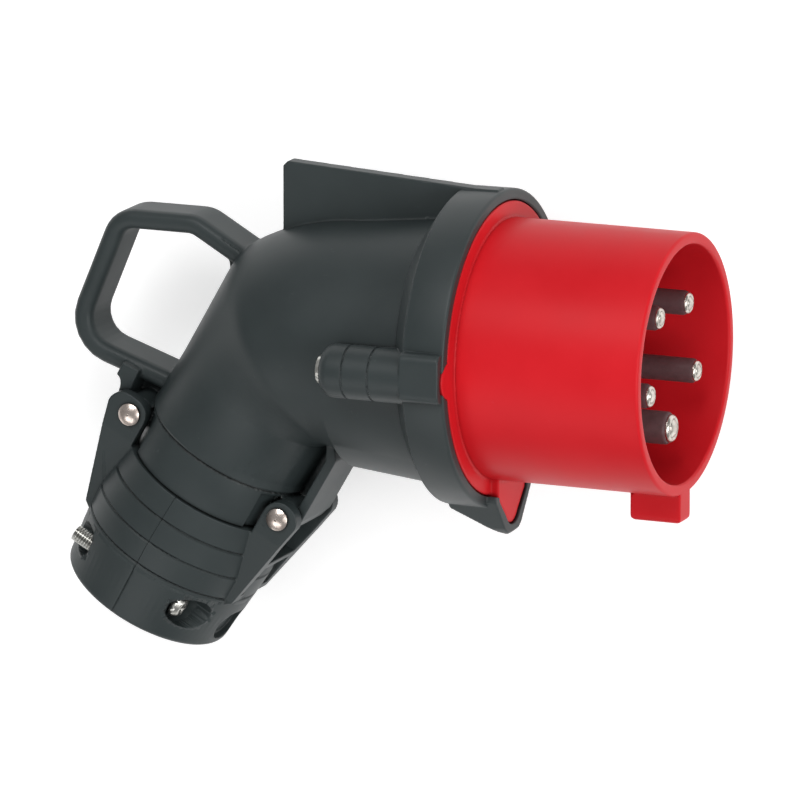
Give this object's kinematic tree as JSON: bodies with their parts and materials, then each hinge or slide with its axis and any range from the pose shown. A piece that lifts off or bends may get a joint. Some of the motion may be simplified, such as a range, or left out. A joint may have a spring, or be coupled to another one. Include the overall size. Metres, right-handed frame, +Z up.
{
  "type": "industrial power plug",
  "caption": "Angled industrial power plug with round pins in a keyed shroud, a loop handle behind the elbow and a hinged clamp that grips the cable.",
  "frame": {"origin": "centre of the shroud's front edge", "axes": "the plug lies on its far side: +X is the way it is pushed in, tipped up by 7.8 degrees; +Y is the side of the fin; +Z is up, towards its near side"},
  "size_m": [0.162, 0.1217, 0.085],
  "materials": {
    "shell": "dark grey moulded plastic, satin",
    "red_plastic": "red moulded plastic, satin",
    "contact_metal": "nickel-plated brass, polished",
    "steel": "bright plated steel",
    "gasket": "black soft rubber"
  },
  "bodies": {
    "plug": {"housing": "shell", "collar": "shell", "fin": "shell", "handle": "shell", "contact_carrier": "red_plastic", "contact_retainer": "red_plastic", "retainer_screw": "steel", "flange_gasket": "gasket", "side_screw_near": "steel", "side_screw_far": "steel", "earth_pin": "contact_metal", "neutral_pin": "contact_metal", "phase_pin_1": "contact_metal", "phase_pin_2": "contact_metal", "phase_pin_3": "contact_metal", "earth_terminal_screws": "steel", "neutral_terminal_screws": "steel", "phase_1_terminal_screws": "steel", "phase_2_terminal_screws": "steel", "phase_3_terminal_screws": "steel", "cable_seal": "gasket", "slip_ring": "shell", "back_hinge_pin": "steel", "front_hinge_pin": "steel"},
    "back_jaw": {"back_jaw": "shell"},
    "front_jaw": {"front_jaw": "shell"},
    "clamp_screw_near": {"clamp_screw_near": "steel"},
    "clamp_screw_far": {"clamp_screw_far": "steel"},
    "clamp_nut_near": {"clamp_nut_near": "steel"},
    "clamp_nut_far": {"clamp_nut_far": "steel"}
  },
  "joints": [
    {"name": "back_jaw_hinge", "type": "hinge", "parent": "plug", "child": "back_jaw", "pos_m": [-0.13872, -0.02166, -0.02231], "axis": [0.134, 0.1506, -0.9795], "range_deg": [0, 6]},
    {"name": "front_jaw_hinge", "type": "hinge", "parent": "plug", "child": "front_jaw", "pos_m": [-0.0993, -0.0441, -0.02036], "axis": [-0.134, -0.1506, 0.9795], "range_deg": [0, 6]},
    {"name": "clamp_screw_near_slide", "type": "slide", "parent": "plug", "child": "clamp_screw_near", "axis": [0.6629, -0.7484, -0.0244], "range_m": [0, 0.00411]},
    {"name": "clamp_screw_far_slide", "type": "slide", "parent": "plug", "child": "clamp_screw_far", "axis": [0.6629, -0.7484, -0.0244], "range_m": [0, 0.00411]},
    {"name": "clamp_nut_near_slide", "type": "slide", "parent": "plug", "child": "clamp_nut_near", "axis": [-0.9812, 0.1584, -0.1099], "range_m": [0, 0.00381]},
    {"name": "clamp_nut_far_slide", "type": "slide", "parent": "plug", "child": "clamp_nut_far", "axis": [-0.9812, 0.1584, -0.1099], "range_m": [0, 0.00381]}
  ],
  "couplings": [
    {"joint": "front_jaw_hinge", "follows": "back_jaw_hinge", "ratio": 1},
    {"joint": "clamp_screw_near_slide", "follows": "back_jaw_hinge", "m_per_rad": 0.039067},
    {"joint": "clamp_screw_far_slide", "follows": "back_jaw_hinge", "m_per_rad": 0.039067},
    {"joint": "clamp_nut_near_slide", "follows": "back_jaw_hinge", "m_per_rad": 0.036211},
    {"joint": "clamp_nut_far_slide", "follows": "back_jaw_hinge", "m_per_rad": 0.036211}
  ]
}
